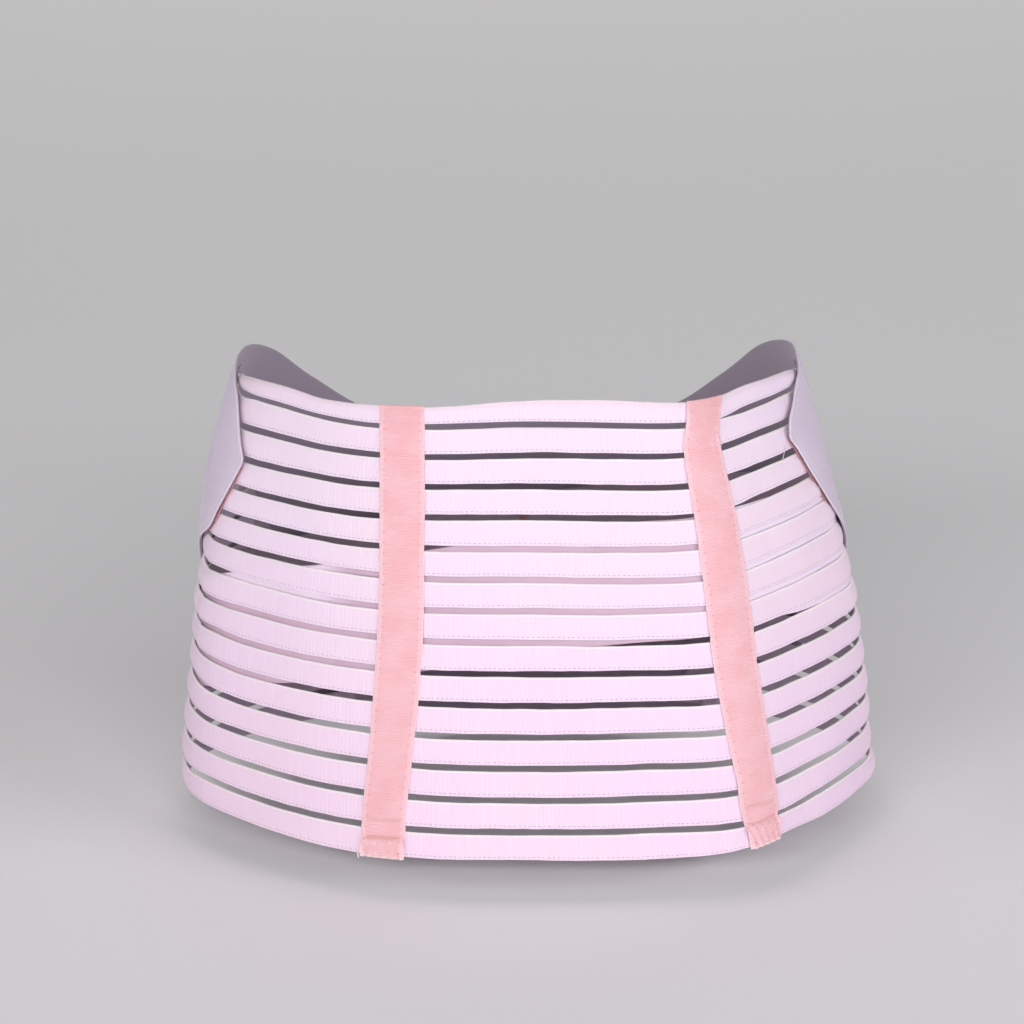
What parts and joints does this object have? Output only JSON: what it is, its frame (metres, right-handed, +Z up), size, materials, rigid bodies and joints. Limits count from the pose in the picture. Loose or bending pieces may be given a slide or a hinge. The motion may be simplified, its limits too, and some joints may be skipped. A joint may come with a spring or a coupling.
{
  "type": "maternity support belt",
  "caption": "Elastic wrap belt in its worn form: slatted back of horizontal elastics, sewn tapes, tilted inner band and a wide front band with pointed fastening ends.",
  "frame": {"origin": "middle of the hollow where the torso goes, at half the height of the strip lattice", "axes": "+Z up along the wearer's torso, -Y towards the wearer's back, +X to the right as seen from behind"},
  "size_m": [0.3976, 0.3197, 0.2753],
  "materials": {
    "elastic": "matt woven elastic, pale lilac pink",
    "ribbon": "salmon pink grosgrain ribbon",
    "binding": "matt woven binding, pale pink",
    "lining": "smooth matt knit, mauve beige",
    "brushed_band": "brushed loop fabric, lavender white",
    "hook": "matt hook tape, salmon pink"
  },
  "bodies": {
    "root": {"elastic_strip_01": "elastic", "elastic_strip_02": "elastic", "elastic_strip_03": "elastic", "elastic_strip_04": "elastic", "elastic_strip_05": "elastic", "elastic_strip_06": "elastic", "elastic_strip_07": "elastic", "elastic_strip_08": "elastic", "elastic_strip_09": "elastic", "elastic_strip_10": "elastic", "elastic_strip_11": "elastic", "elastic_strip_12": "elastic", "elastic_strip_13": "elastic", "elastic_strip_14": "elastic", "elastic_strip_15": "elastic", "back_tape_left": "ribbon", "back_tape_right": "ribbon", "end_tape_left": "binding", "end_tape_right": "binding", "inner_band": "lining", "inner_band_closure": "hook", "front_band": "brushed_band", "hook_pad_left": "hook", "hook_pad_right": "hook"}
  },
  "joints": []
}
